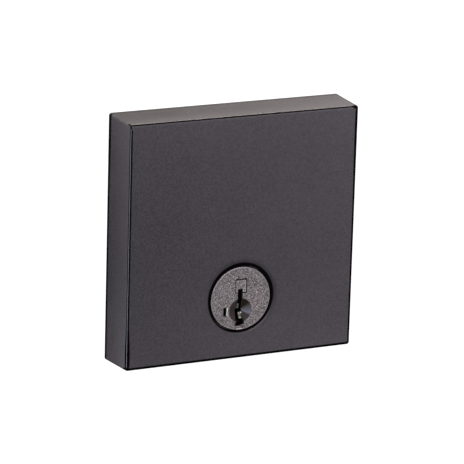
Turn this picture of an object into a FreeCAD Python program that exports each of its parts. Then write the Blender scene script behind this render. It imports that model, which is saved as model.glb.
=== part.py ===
import FreeCAD, Part

import math
import os

# Single-cylinder deadbolt door lock, complete as it sits on a closed-up door, with the door left out.
# Millimetres.  Origin: centre of the outer rose's back face, on the axis of the cross bore.
# -Y is outdoors, +Y is indoors, +Z is up, and the bolt leaves toward +X.
# Rest: key slot upright, thumbturn upright, bolt drawn in.

V = FreeCAD.Vector

# ---- door preparation the lock fits ----
DOOR = 44.45                 # door thickness
BACKSET = 60.3               # door edge to the cross bore's axis
BOSS_R = 26.5                # round boss that drops into the 54 mm cross bore
POST_X = 18.5                # through screws each side of the spindle
THROW = 25.4                 # bolt travel for a quarter turn

# ---- square roses ----
ROSE_BACK = 68.5             # across flats at the door
ROSE_FRONT = 67.6            # across flats at the face
ROSE_DEPTH = 13.0            # outer rose
INNER_DEPTH = 10.0           # inner rose
ROSE_WALL = 2.0
ROSE_EDGE = 0.75             # rounded edges
TAB = 1.0                    # crimped tabs' thickness

# ---- key cylinder ----
PLUG_Z = -17.15              # cylinder axis below the spindle axis
HEAD_R = 8.95
HEAD_HOLE_R = 9.25           # hole in the rose's face
HEAD_EDGE = 0.6              # rounded rim of that hole
BARREL_R = 7.2
BARREL_BORE_R = 7.26
FACE_Y = -12.5               # plug face, half a millimetre behind the rose's face
HEAD_BACK_Y = -11.0
BARREL_END_Y = 11.0
TANG_END_Y = 14.3
PIN_PITCH = 3.6
PIN_FIRST_Y = -7.6
PIN_COUNT = 5
PIN_X = -0.4

# ---- housing and gear train ----
FLANGE = 62.0
FLANGE_FRONT_Y = -4.2
FLANGE_BACK_Y = -1.2
TOWER_R = 11.5
GEAR_MODULE = 0.8
GEAR_TEETH = 18
IDLER_TEETH = 12
PRESSURE = math.radians(25.0)
TOOTH_THIN = 0.07            # taken off each side of a tooth at the pitch circle
GEAR_FRONT_Y = 11.4
GEAR_BACK_Y = 14.1
POCKET_Y = 11.2
CLIP_POCKET_Y = 9.8
BOSS_BACK_Y = 14.5
COVER_BACK_Y = 16.0
JOURNAL_R = 4.5
JOURNAL_BORE_R = 4.57
POCKET_R = 8.35
IDLER_POCKET_R = 6.0
AXLE_R = 1.5

# ---- spindle and latch ----
BLADE_X = 2.4                # thickness of the flat torque blade
BLADE_Z = 7.0                # width of the blade
LATCH_Y = 22.225             # middle of the door
TUBE_R = 11.0
TUBE_BORE_R = 10.1
TUBE_BACK_X = 24.0
TUBE_WALL = 1.2
PLATE_OUT = 2.4              # faceplate thickness
PLATE_Y = 25.4
PLATE_Z = 57.15
PLATE_CORNER = 6.35
PLATE_HOLES = 41.3
BOLT_R = 10.0
BOLT_HALF_Y = 7.2
BOLT_BACK_X = 25.6
SIDE_INNER = 4.0             # side plates' inner faces off the latch's middle
SIDE_OUTER = 5.2
SIDE_BACK_X = -23.0
SIDE_HALF_Z = 10.5
HUB_R = 5.5
HUB_HOLE_R = 5.57
CRANK_R = THROW / 2.0 / math.sin(math.radians(45.0))
CRANK_PIN_R = 1.5
LINK_FRONT_Y = 18.6
LINK_BACK_Y = 20.4
ARM_FRONT_Y = 20.9
ARM_BACK_Y = 23.5
FORK_HALF = 2.25             # half the fork's slot
FORK_PRONG = 2.6

# ---- indoor side ----
MOUNT_BACK_Y = DOOR + 2.0
SHAFT_R = 6.9
SHAFT_BORE_R = 6.97
SHAFT_START_Y = 48.9
TURN_FACE_Y = DOOR + INNER_DEPTH + 0.3
COLLAR_R = 11.0
PADDLE_START_Y = 57.0
PADDLE_END_Y = 74.5
PADDLE_HALF_X = 4.25
PADDLE_HALF_Z = 17.0


def box(x0, x1, y0, y1, z0, z1):
    return Part.makeBox(x1 - x0, y1 - y0, z1 - z0, V(x0, y0, z0))


def rod_y(radius, y0, y1, x=0.0, z=0.0):
    return Part.makeCylinder(radius, y1 - y0, V(x, y0, z), V(0, 1, 0))


def rod_x(radius, x0, x1, y=0.0, z=0.0):
    return Part.makeCylinder(radius, x1 - x0, V(x0, y, z), V(1, 0, 0))


def rod_z(radius, z0, z1, x=0.0, y=0.0):
    return Part.makeCylinder(radius, z1 - z0, V(x, y, z0), V(0, 0, 1))


def cone_y(r0, r1, y0, y1, x=0.0, z=0.0):
    return Part.makeCone(r0, r1, y1 - y0, V(x, y0, z), V(0, 1, 0))


def prism_y(points, y0, y1):
    """A flat outline given as (x, z) corners, carried from y0 to y1."""
    wire = Part.makePolygon([V(x, y0, z) for x, z in points] + [V(points[0][0], y0, points[0][1])])
    return Part.Face(wire).extrude(V(0, y1 - y0, 0))


def join(shapes):
    return shapes[0].multiFuse(shapes[1:]).removeSplitter()


def less(shape, cutters):
    return shape.cut(Part.makeCompound(cutters)) if len(cutters) == 1 else shape.cut(cutters)


def circles_at(shape, y):
    """Whole round edges of a shape that lie in the plane at this y."""
    found = []
    for e in shape.Edges:
        limits = e.BoundBox
        if e.isClosed() and abs(limits.YMin - y) < 1e-4 and abs(limits.YMax - y) < 1e-4:
            found.append(e)
    return found


def coil(mean_r, wire_r, length, turns, base, direction):
    """A helical spring standing on base and rising along direction."""
    path = Part.makeHelix(length / turns, length, mean_r)
    ring = Part.makeCircle(wire_r, V(mean_r, 0, 0), V(0, 1, 0))
    spring = Part.Wire(path.Edges).makePipeShell([Part.Wire([ring])], True, True)
    turn = FreeCAD.Rotation(V(0, 0, 1), direction)
    spring.Placement = FreeCAD.Placement(base, turn)
    return spring


def save(name, shape):
    """Write one node, after making sure that it is made of sound closed solids."""
    solids = shape.Solids
    if not solids or not shape.isValid():
        raise ValueError("unsound shape: " + name)
    body = solids[0] if len(solids) == 1 else Part.makeCompound(solids)
    body.exportStep("parts/" + name + ".step")
    print(name, len(solids), round(body.Volume, 1))


# ---------------------------------------------------------------- roses

def tapered_block(back, front, y_back, y_front, edge):
    """A square block, slightly narrower at the face, with its face and corner edges rounded."""
    wires = []
    for width, y in ((back, y_back), (front, y_front)):
        h = width / 2.0
        wires.append(Part.makePolygon([V(-h, y, -h), V(h, y, -h), V(h, y, h), V(-h, y, h), V(-h, y, -h)]))
    block = Part.makeLoft(wires, True, True)
    if edge > 0:
        rounded = []
        for e in block.Edges:
            if not all(abs(v.Point.y - y_back) < 1e-6 for v in e.Vertexes):
                rounded.append(e)
        block = block.makeFillet(edge, rounded)
    return block


def rose_shell(y_back, depth, outward):
    """The pressed shell of a rose, open toward the door; outward is -1 outdoors and +1 indoors."""
    y_front = y_back + outward * depth
    inner_front = y_front - outward * ROSE_WALL
    outer = tapered_block(ROSE_BACK, ROSE_FRONT, y_back, y_front, ROSE_EDGE)
    hollow = tapered_block(ROSE_BACK - 2 * ROSE_WALL, ROSE_FRONT - 2 * ROSE_WALL,
                           y_back - outward * 0.001, inner_front, 0)
    return outer.cut(hollow)


def outer_rose():
    shell = rose_shell(0.0, ROSE_DEPTH, -1)
    shell = shell.cut(rod_y(HEAD_HOLE_R, -14.0, -10.0, 0, PLUG_Z))
    shell = shell.makeFillet(HEAD_EDGE, circles_at(shell, -ROSE_DEPTH))
    tabs = []
    for side in (-1, 1):
        for x in (-22.0, 22.0):
            z = sorted((side * 29.8, side * 32.6))
            tabs.append(box(x - 3.5, x + 3.5, FLANGE_BACK_Y + 0.05, FLANGE_BACK_Y + 0.05 + TAB, z[0], z[1]))
    return join([shell] + tabs)


# ---------------------------------------------------------------- cylinder housing

def idler_centre():
    reach = GEAR_MODULE * (GEAR_TEETH + IDLER_TEETH) / 2.0
    half = PLUG_Z / 2.0
    return math.sqrt(reach * reach - half * half), half


def tube_relief():
    """Room for the latch tube, which crosses the edge of the boss."""
    return rod_x(TUBE_R + 0.5, TUBE_BACK_X - 0.6, TUBE_BACK_X + 6.0, LATCH_Y, 0)


def cover_screw_places():
    return [(-16.0, -13.0), (18.6, -11.6), (0.0, 10.7)]


def cylinder_housing():
    ix, iz = idler_centre()
    flange = box(-FLANGE / 2, FLANGE / 2, FLANGE_FRONT_Y, FLANGE_BACK_Y, -FLANGE / 2, FLANGE / 2)
    corners = [e for e in flange.Edges if abs(e.Vertexes[0].Point.y - e.Vertexes[1].Point.y) > 1.0]
    flange = flange.makeFillet(3.0, corners)
    boss = rod_y(BOSS_R, FLANGE_BACK_Y, BOSS_BACK_Y)
    tower = rod_y(TOWER_R, HEAD_BACK_Y, FLANGE_FRONT_Y, 0, PLUG_Z)
    posts = [rod_y(5.6, -6.5, FLANGE_FRONT_Y, x, 0) for x in (-POST_X, POST_X)]
    ribs = [box(-0.9, 0.9, -8.0, FLANGE_FRONT_Y, -7.0, 26.0), box(-26.0, 26.0, -6.5, FLANGE_FRONT_Y, -0.9, 0.9)]
    body = join([flange, boss, tower] + posts + ribs)

    # upper half of the boss cored out, leaving the spindle's hub and the two post bosses
    core = rod_y(24.2, 2.5, BOSS_BACK_Y + 1)
    core = core.common(box(-30, 30, 0, 20, 3.0, 30))
    keep = [rod_y(13.2, 0, 20), rod_y(5.6, 0, 20, POST_X, 0), rod_y(5.6, 0, 20, -POST_X, 0)]
    core = core.cut(keep)

    cutters = [
        core,
        rod_y(BARREL_BORE_R, HEAD_BACK_Y - 1, CLIP_POCKET_Y + 0.5, 0, PLUG_Z),
        rod_y(10.0, HEAD_BACK_Y - 1, HEAD_BACK_Y + 1.4, 0, PLUG_Z),
        rod_y(POCKET_R, CLIP_POCKET_Y, BOSS_BACK_Y + 1, 0, PLUG_Z),
        rod_y(POCKET_R, POCKET_Y, BOSS_BACK_Y + 1),
        rod_y(IDLER_POCKET_R, POCKET_Y, BOSS_BACK_Y + 1, ix, iz),
        rod_y(JOURNAL_BORE_R, 8.7, POCKET_Y + 0.5),
        rod_y(AXLE_R, 8.0, POCKET_Y + 0.5, ix, iz),
        prism_y([(-7.0, PLUG_Z - 1.6), (-7.0, PLUG_Z + 1.6), (-8.6, PLUG_Z + 0.5), (-8.6, PLUG_Z - 0.5)], -9.2, 8.6),
        tube_relief(),
    ]
    for x in (-POST_X, POST_X):
        cutters.append(rod_y(3.5, 0.0, BOSS_BACK_Y + 1, x, 0))
    for x, z in cover_screw_places():
        cutters.append(rod_y(1.1, 8.5, BOSS_BACK_Y + 1, x, z))
    return body.cut(cutters)


def guard_ring():
    """Hardened ring behind the plug's head, round the barrel."""
    return rod_y(9.95, HEAD_BACK_Y + 0.1, HEAD_BACK_Y + 1.4, 0, PLUG_Z).cut(
        rod_y(BARREL_R + 0.3, HEAD_BACK_Y - 1, HEAD_BACK_Y + 2, 0, PLUG_Z))


def weather_gasket():
    return rod_y(30.2, FLANGE_BACK_Y, 0.0).cut(rod_y(27.2, FLANGE_BACK_Y - 1, 1.0))


def mounting_posts():
    """Threaded sleeves pressed into the housing for the two through screws."""
    posts = []
    for x in (-POST_X, POST_X):
        posts.append(rod_y(3.5, 0.5, 16.6, x, 0).cut(rod_y(2.05, 2.5, 18.0, x, 0)))
    return Part.makeCompound(posts)


def gear_cover():
    ix, iz = idler_centre()
    plate = rod_y(26.0, BOSS_BACK_Y, COVER_BACK_Y).common(box(-30, 30, 10, 20, -30, 13.2))
    cutters = [
        rod_y(JOURNAL_BORE_R, 10, 20),
        rod_y(JOURNAL_BORE_R, 10, 20, 0, PLUG_Z),
        rod_y(AXLE_R, 10, 20, ix, iz),
        tube_relief(),
    ]
    for x in (-POST_X, POST_X):
        cutters.append(rod_y(3.6, 10, 20, x, 0))
    for x, z in cover_screw_places():
        cutters.append(rod_y(1.1, 10, 20, x, z))
        cutters.append(cone_y(1.1, 2.2, COVER_BACK_Y - 1.1, COVER_BACK_Y, x, z))
    return plate.cut(cutters)


def gear_cover_screws():
    screws = []
    for x, z in cover_screw_places():
        shank = rod_y(1.1, 9.0, COVER_BACK_Y - 1.1, x, z)
        head = cone_y(1.1, 2.2, COVER_BACK_Y - 1.1, COVER_BACK_Y, x, z)
        slot = box(x - 2.5, x + 2.5, COVER_BACK_Y - 0.5, COVER_BACK_Y + 0.1, z - 0.25, z + 0.25)
        screws.append(join([shank, head]).cut(slot))
    return Part.makeCompound(screws)


# ---------------------------------------------------------------- gears

def involute_angle(radius, base):
    """Polar angle unrolled by an involute at this radius."""
    ratio = max(radius / base, 1.0)
    roll = math.sqrt(ratio * ratio - 1.0)
    return roll - math.atan(roll)


def gear_outline(teeth, phase):
    """Corners of a spur gear's outline; phase is the angle of one tooth's middle."""
    pitch_r = GEAR_MODULE * teeth / 2.0
    base = pitch_r * math.cos(PRESSURE)
    tip = pitch_r + 0.9 * GEAR_MODULE
    root = pitch_r - 1.2 * GEAR_MODULE
    half = math.pi / 2.0 / teeth - TOOTH_THIN / pitch_r
    foot = max(base, root)
    steps = 6
    flank = [foot + (tip - foot) * i / steps for i in range(steps + 1)]
    points = []
    for k in range(teeth):
        middle = phase + 2.0 * math.pi * k / teeth
        left = []
        for r in flank:
            spread = half + involute_angle(pitch_r, base) - involute_angle(r, base)
            left.append((r, -spread))
        if root < base:
            left.insert(0, (root, left[0][1]))
        right = [(r, -a) for r, a in reversed(left)]
        for r, a in left + right:
            points.append((r * math.cos(middle + a), r * math.sin(middle + a)))
    return points


def spur_gear(teeth, phase, x, z):
    outline = [(x + px, z + pz) for px, pz in gear_outline(teeth, phase)]
    return prism_y(outline, GEAR_FRONT_Y, GEAR_BACK_Y)


def mesh_phases():
    """Tooth phases of the drive, idler and driven gears so that all three are in mesh at rest."""
    ix, iz = idler_centre()
    idler_phase = 0.0
    phases = []
    for cx, cz in ((0.0, PLUG_Z), (0.0, 0.0)):
        toward_idler = math.atan2(iz - cz, ix - cx)
        toward_gear = toward_idler + math.pi
        pitch = 2.0 * math.pi / IDLER_TEETH
        gap = idler_phase + pitch / 2.0
        gap += round((toward_gear - gap) / pitch) * pitch
        off = gap - toward_gear
        phases.append(toward_idler - off * IDLER_TEETH / GEAR_TEETH)
    return phases[0], idler_phase, phases[1]


def drive_gear():
    """Turned by the plug's tang through a bow-tie slot, which gives the lost motion."""
    phase = mesh_phases()[0]
    gear = spur_gear(GEAR_TEETH, phase, 0.0, PLUG_Z)
    journal = rod_y(JOURNAL_R, GEAR_BACK_Y, COVER_BACK_Y - 0.1, 0, PLUG_Z)
    reach = 12.0
    wedge = []
    for side in (-1, 1):
        wedge.append(prism_y([(-1.35, PLUG_Z), (-1.35 - reach * 0.9, PLUG_Z + side * reach),
                              (1.35 + reach * 0.9, PLUG_Z + side * reach), (1.35, PLUG_Z)],
                             GEAR_FRONT_Y - 1, TANG_END_Y + 0.3))
    slot = join([wedge[0], wedge[1]]).common(rod_y(4.1, 5, 20, 0, PLUG_Z))
    return join([gear, journal]).cut(slot)


def idler_gear():
    ix, iz = idler_centre()
    gear = spur_gear(IDLER_TEETH, mesh_phases()[1], ix, iz)
    return gear.cut(rod_y(AXLE_R + 0.06, 5, 20, ix, iz))


def idler_axle():
    ix, iz = idler_centre()
    return rod_y(AXLE_R, 8.2, COVER_BACK_Y, ix, iz)


def driven_gear():
    gear = spur_gear(GEAR_TEETH, mesh_phases()[2], 0.0, 0.0)
    front = rod_y(JOURNAL_R, 9.0, GEAR_FRONT_Y)
    back = rod_y(JOURNAL_R, GEAR_BACK_Y, COVER_BACK_Y - 0.1)
    slot = box(-BLADE_X / 2, BLADE_X / 2, 5, 20, -BLADE_Z / 2, BLADE_Z / 2)
    return join([gear, front, back]).cut(slot)


def torque_blade():
    blade = box(-BLADE_X / 2, BLADE_X / 2, 9.2, 52.0, -BLADE_Z / 2, BLADE_Z / 2)
    ends = [e for e in blade.Edges
            if all(abs(v.Point.y - 52.0) < 1e-6 for v in e.Vertexes)
            and abs(e.Vertexes[0].Point.x - e.Vertexes[1].Point.x) > 1.0]
    return blade.makeChamfer(1.0, ends)


# ---------------------------------------------------------------- plug and what is inside it

def keyway_outline():
    """The warded key slot, top first and round by the right; x and z in the lock's frame."""
    return [
        (-0.88, -14.45), (0.42, -14.45), (0.46, -17.15), (0.55, -18.70), (0.75, -20.20),
        (0.75, -20.95), (-0.22, -21.08), (-0.22, -22.85), (0.95, -22.90), (1.02, -24.60),
        (-1.36, -24.66), (-1.30, -23.00), (-1.24, -21.90), (-1.38, -20.10), (0.02, -20.05),
        (-0.06, -18.66), (-0.76, -18.62), (-0.76, -18.20), (-0.82, -17.15),
    ]


def keyway(y0, y1):
    return prism_y(keyway_outline(), y0, y1)


def pin_places():
    return [PIN_FIRST_Y + PIN_PITCH * i for i in range(PIN_COUNT)]


def at_plug(x0, x1, y0, y1, z0, z1):
    """A box with its heights taken from the cylinder axis."""
    return box(x0, x1, y0, y1, PLUG_Z + z0, PLUG_Z + z1)


def plug():
    head = rod_y(HEAD_R, FACE_Y, HEAD_BACK_Y, 0, PLUG_Z)
    head = head.makeFillet(0.3, circles_at(head, FACE_Y))
    barrel = rod_y(BARREL_R, HEAD_BACK_Y, BARREL_END_Y, 0, PLUG_Z)
    tang = at_plug(-1.2, 1.2, BARREL_END_Y, TANG_END_Y, -3.8, 3.8)
    body = join([head, barrel, tang])

    groove = rod_y(8.0, 9.9, 10.7, 0, PLUG_Z).cut(rod_y(6.2, 9, 11, 0, PLUG_Z))
    dish = cone_y(3.4, 0.8, FACE_Y, FACE_Y + 1.0, 0.05, -20.5)
    insert_pocket = box(-1.65, 1.82, FACE_Y - 1, -9.9, -15.64, -11.76)
    tool_slot = box(-4.95, -3.9, FACE_Y - 1, -6.5, -21.75, -19.3)
    foot_notch = box(-1.3, 0.95, FACE_Y - 1, FACE_Y + 0.4, -25.6, -24.85)
    carriage_pocket = at_plug(-8.0, -2.2, -9.5, 8.7, -2.3, 4.7)
    cutters = [groove, dish, insert_pocket, tool_slot, foot_notch, carriage_pocket, keyway(FACE_Y - 1, 8.9)]
    for y in pin_places():
        cutters.append(rod_z(1.35, PLUG_Z - 0.9, PLUG_Z + 6.2, PIN_X, y))
        cutters.append(at_plug(-2.4, -1.3, y - 0.6, y + 0.6, -0.6, 4.0))
    return body.cut(cutters)


def plug_insert():
    """Hard square insert set in the plug's face over the top of the key slot."""
    block = box(-1.59, 1.76, FACE_Y, -9.9, -15.58, -11.82)
    return block.cut(keyway(FACE_Y - 1, 8.9))


def key_followers():
    pins = []
    for y in pin_places():
        stem = rod_z(1.25, PLUG_Z - 0.85, PLUG_Z + 2.4, PIN_X, y)
        tooth = at_plug(-2.75, PIN_X, y - 0.5, y + 0.5, 0.75, 1.25)
        pins.append(join([stem, tooth]))
    return Part.makeCompound(pins)


def follower_springs():
    up = V(0, 0, 1)
    springs = [coil(0.95, 0.18, 3.2, 4, V(PIN_X, y, PLUG_Z + 2.65), up) for y in pin_places()]
    return Part.makeCompound(springs)


def wafer_racks():
    racks = []
    for y in pin_places():
        rack = at_plug(-3.5, -2.4, y - 0.85, y + 0.85, -1.6, 3.9)
        notches = [at_plug(-2.8, -2.3, y - 0.9, y + 0.9, z - 0.3, z + 0.3) for z in (-0.1, 1.0, 2.1, 3.2)]
        racks.append(rack.cut(notches))
    return Part.makeCompound(racks)


def rack_carriage():
    block = at_plug(-5.2, -2.3, -9.4, 8.6, -2.2, 4.6)
    slots = [at_plug(-3.6, -2.2, y - 0.95, y + 0.95, -1.8, 4.1) for y in pin_places()]
    return block.cut(slots)


def sidebar():
    bar = at_plug(-7.4, -5.35, -8.8, 8.0, -1.0, 1.0)
    nose = prism_y([(-5.0, PLUG_Z - 1.0), (-6.5, PLUG_Z - 1.0), (-7.1, PLUG_Z - 0.45),
                    (-7.1, PLUG_Z + 0.45), (-6.5, PLUG_Z + 1.0), (-5.0, PLUG_Z + 1.0)], -9, 9)
    bar = bar.common(nose)
    pockets = [rod_x(0.75, -6.3, -5.0, y, PLUG_Z) for y in (-6.5, 5.7)]
    return bar.cut(pockets)


def sidebar_springs():
    side = V(-1, 0, 0)
    return Part.makeCompound([coil(0.5, 0.14, 0.8, 2, V(-5.35, y, PLUG_Z), side) for y in (-6.5, 5.7)])


def plug_retainer():
    """Open clip in the groove at the barrel's end."""
    ring = rod_y(8.1, 9.95, 10.65, 0, PLUG_Z).cut(rod_y(6.25, 9, 12, 0, PLUG_Z))
    return ring.cut(at_plug(-3.0, 3.0, 9, 12, -9.0, 0.0))


# ---------------------------------------------------------------- latch

def latch_tube():
    tube = rod_x(TUBE_R, TUBE_BACK_X, BACKSET - PLATE_OUT, LATCH_Y)
    bore = rod_x(TUBE_BORE_R, TUBE_BACK_X + TUBE_WALL, BACKSET, LATCH_Y)
    window = box(TUBE_BACK_X - 1, TUBE_BACK_X + TUBE_WALL + 0.2, LINK_FRONT_Y - 0.25, LINK_BACK_Y + 0.25, 5.8, 12.0)
    slots = []
    for side in (-1, 1):
        y = sorted((LATCH_Y + side * SIDE_INNER, LATCH_Y + side * SIDE_OUTER))
        slots.append(box(TUBE_BACK_X - 1, TUBE_BACK_X + TUBE_WALL, y[0], y[1], -4.5, 4.5))
    return tube.cut([bore, window] + slots)


def side_plate(side):
    y = sorted((LATCH_Y + side * SIDE_INNER, LATCH_Y + side * SIDE_OUTER))
    plate = box(SIDE_BACK_X, TUBE_BACK_X, y[0], y[1], -SIDE_HALF_Z, SIDE_HALF_Z)
    corners = [e for e in plate.Edges
               if abs(e.Vertexes[0].Point.y - e.Vertexes[1].Point.y) > 1.0
               and e.Vertexes[0].Point.x < 0]
    plate = plate.makeFillet(4.0, corners)
    tongue = box(TUBE_BACK_X - 1, TUBE_BACK_X + TUBE_WALL, y[0], y[1], -4.5, 4.5)
    holes = [rod_y(HUB_HOLE_R, y[0] - 1, y[1] + 1)]
    for x in (-POST_X, POST_X):
        holes.append(rod_y(2.6, y[0] - 1, y[1] + 1, x, 0))
    for x, z in pillar_places():
        holes.append(rod_y(1.0, y[0] - 1, y[1] + 1, x, z))
    return join([plate, tongue]).cut(holes)


def pillar_places():
    return [(-20.6, 7.4), (-20.6, -7.4), (3.0, -8.6), (20.6, -7.4)]


def latch_pillars():
    pillars = []
    for x, z in pillar_places():
        waist = rod_y(1.6, LATCH_Y - SIDE_INNER, LATCH_Y + SIDE_INNER, x, z)
        ends = rod_y(1.0, LATCH_Y - SIDE_OUTER, LATCH_Y + SIDE_OUTER, x, z)
        pillars.append(join([waist, ends]))
    return Part.makeCompound(pillars)


def bolt_outline(radius, half, x0, x1):
    return rod_x(radius, x0, x1, LATCH_Y).common(
        box(x0 - 1, x1 + 1, LATCH_Y - half, LATCH_Y + half, -radius - 1, radius + 1))


def faceplate():
    plate = box(BACKSET - PLATE_OUT, BACKSET, LATCH_Y - PLATE_Y / 2, LATCH_Y + PLATE_Y / 2, -PLATE_Z / 2, PLATE_Z / 2)
    corners = [e for e in plate.Edges if abs(e.Vertexes[0].Point.x - e.Vertexes[1].Point.x) > 1.0]
    plate = plate.makeFillet(PLATE_CORNER, corners)
    cutters = [bolt_outline(BOLT_R + 0.25, BOLT_HALF_Y + 0.25, BACKSET - 5, BACKSET + 2)]
    for z in (-PLATE_HOLES / 2, PLATE_HOLES / 2):
        cutters.append(rod_x(2.4, BACKSET - 5, BACKSET + 2, LATCH_Y, z))
        cutters.append(Part.makeCone(2.4, 4.4, 2.0, V(BACKSET - 2.0, LATCH_Y, z), V(1, 0, 0)))
    return plate.cut(cutters)


def bolt():
    body = bolt_outline(BOLT_R, BOLT_HALF_Y, BOLT_BACK_X, BACKSET)
    nose = [e for e in body.Edges if all(abs(v.Point.x - BACKSET) < 1e-6 for v in e.Vertexes)]
    body = body.makeFillet(0.8, nose)
    link_slot = box(BOLT_BACK_X - 1, 34.0, LINK_FRONT_Y, LINK_BACK_Y, -6.0, 12.0)
    core = rod_x(2.5, BOLT_BACK_X - 1, 58.0, LATCH_Y + 2.2)
    rivets = [rod_y(1.4, LATCH_Y - 9, LATCH_Y + 9, 30.0, z) for z in (-4.3, 4.3)]
    return body.cut([link_slot, core] + rivets)


def bolt_core_pin():
    """Hardened pin that turns inside the bolt against a saw."""
    return rod_x(2.5, 33.0, 58.0, LATCH_Y + 2.2)


def link_rivets():
    return Part.makeCompound([rod_y(1.4, LATCH_Y - 7.1, LATCH_Y + 7.1, 30.0, z) for z in (-4.3, 4.3)])


def bolt_link():
    """Bar from the bolt back to a fork that the crank pin works in."""
    fork_x = -THROW / 2.0
    outer = FORK_HALF + FORK_PRONG
    bar = box(fork_x - outer, 34.0, LINK_FRONT_Y, LINK_BACK_Y, 6.2, 9.0)
    fork = box(fork_x - outer, fork_x + outer, LINK_FRONT_Y, LINK_BACK_Y, 6.2, 19.8)
    tips = [e for e in fork.Edges
            if abs(e.Vertexes[0].Point.y - e.Vertexes[1].Point.y) > 1.0 and e.Vertexes[0].Point.z > 19.0]
    fork = fork.makeFillet(1.6, tips)
    tail = box(BOLT_BACK_X + 0.2, 34.0, LINK_FRONT_Y, LINK_BACK_Y, -6.0, 9.0)
    slot = join([box(fork_x - FORK_HALF, fork_x + FORK_HALF, 15, 25, 12.6, 25.0),
                 rod_y(FORK_HALF, 15, 25, fork_x, 12.6)])
    rivets = [rod_y(1.4, 15, 25, 30.0, z) for z in (-4.3, 4.3)]
    return join([bar, fork, tail]).cut([slot] + rivets)


def crank_tip():
    return -CRANK_R * math.sin(math.radians(45)), CRANK_R * math.cos(math.radians(45))


def bolt_cam():
    """Hub turned by the blade, with the crank arm that carries the pin."""
    px, pz = crank_tip()
    hub = rod_y(HUB_R, LATCH_Y - SIDE_OUTER + 0.05, LATCH_Y + SIDE_OUTER - 0.05)
    collar = rod_y(7.4, ARM_FRONT_Y, LATCH_Y + SIDE_INNER - 0.2)
    arm = box(-3.0, 3.0, ARM_FRONT_Y, ARM_BACK_Y, 0.0, CRANK_R)
    arm.rotate(V(0, 0, 0), V(0, 1, 0), -45)
    end = rod_y(3.0, ARM_FRONT_Y, ARM_BACK_Y, px, pz)
    slot = box(-BLADE_X / 2 - 0.1, BLADE_X / 2 + 0.1, 10, 40, -BLADE_Z / 2 - 0.1, BLADE_Z / 2 + 0.1)
    return join([hub, collar, arm, end]).cut([slot, rod_y(CRANK_PIN_R, 10, 40, px, pz)])


def crank_pin():
    px, pz = crank_tip()
    return rod_y(CRANK_PIN_R, LINK_FRONT_Y - 0.1, ARM_BACK_Y, px, pz)


# ---------------------------------------------------------------- indoor side

def inner_mounting_plate():
    plate = box(-31, 31, DOOR, MOUNT_BACK_Y, -31, 31)
    corners = [e for e in plate.Edges if abs(e.Vertexes[0].Point.y - e.Vertexes[1].Point.y) > 1.0]
    plate = plate.makeFillet(3.0, corners)
    spigot = rod_y(26.4, DOOR - 3.0, DOOR).cut(rod_y(24.8, DOOR - 4.0, DOOR))
    lugs = [box(-6, 6, DOOR, DOOR + 6.5, -31.0, -29.4), box(-6, 6, DOOR, DOOR + 6.5, 29.4, 31.0)]
    holes = [rod_y(9.5, 40, 60)]
    for x in (-POST_X, POST_X):
        holes.append(rod_y(2.3, 40, 60, x, 0))
    return join([plate, spigot] + lugs).cut(holes)


def through_screws():
    screws = []
    for x in (-POST_X, POST_X):
        shank = rod_y(2.0, 4.0, MOUNT_BACK_Y, x, 0)
        head = rod_y(4.1, MOUNT_BACK_Y, MOUNT_BACK_Y + 2.4, x, 0)
        head = head.makeFillet(1.2, circles_at(head, MOUNT_BACK_Y + 2.4))
        y = MOUNT_BACK_Y + 2.4
        cross = [box(x - 2.2, x + 2.2, y - 1.4, y + 1, -0.4, 0.4), box(x - 0.4, x + 0.4, y - 1.4, y + 1, -2.2, 2.2)]
        screws.append(join([shank, head]).cut(cross))
    return Part.makeCompound(screws)


def inner_rose():
    shell = rose_shell(DOOR, INNER_DEPTH, 1)
    hole = rod_y(8.5, DOOR, DOOR + INNER_DEPTH + 2)
    grub = rod_z(1.6, -36.0, -30.0, 0, DOOR + 4.0)
    return shell.cut([hole, grub])


def rose_set_screw():
    screw = rod_z(1.55, -33.4, -31.0, 0, DOOR + 4.0)
    return screw.cut(rod_z(0.75, -34.0, -32.2, 0, DOOR + 4.0))


def thumbturn_bushing():
    face = DOOR + INNER_DEPTH
    sleeve = rod_y(8.5, face - ROSE_WALL, face)
    flange = rod_y(10.6, face - ROSE_WALL - 1.2, face - ROSE_WALL)
    return join([sleeve, flange]).cut(rod_y(SHAFT_BORE_R, 40, 60))


def thumbturn():
    shaft = rod_y(SHAFT_R, SHAFT_START_Y, TURN_FACE_Y + 0.5)
    collar = rod_y(COLLAR_R, TURN_FACE_Y, PADDLE_START_Y)
    collar = collar.makeFillet(0.8, circles_at(collar, PADDLE_START_Y))
    flat = box(-PADDLE_HALF_X, PADDLE_HALF_X, PADDLE_START_Y - 0.5, PADDLE_END_Y,
               -PADDLE_HALF_Z + PADDLE_HALF_X, PADDLE_HALF_Z - PADDLE_HALF_X)
    ends = [rod_y(PADDLE_HALF_X, PADDLE_START_Y - 0.5, PADDLE_END_Y, 0, z)
            for z in (-PADDLE_HALF_Z + PADDLE_HALF_X, PADDLE_HALF_Z - PADDLE_HALF_X)]
    paddle = join([flat] + ends)
    rim = [e for e in paddle.Edges if all(abs(v.Point.y - PADDLE_END_Y) < 1e-6 for v in e.Vertexes)]
    paddle = paddle.makeFillet(1.4, rim)
    groove = rod_y(8.0, 49.5, 50.3).cut(rod_y(5.9, 49, 51))
    slot = box(-BLADE_X / 2 - 0.1, BLADE_X / 2 + 0.1, SHAFT_START_Y - 1, 53.0, -BLADE_Z / 2 - 0.1, BLADE_Z / 2 + 0.1)
    return join([shaft, collar, paddle]).cut([groove, slot])


def thumbturn_clip():
    ring = rod_y(9.2, 49.55, 50.25).cut(rod_y(5.95, 49, 51))
    return ring.cut(box(-4.0, 4.0, 49, 51, -10.0, 0.0))


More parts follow.
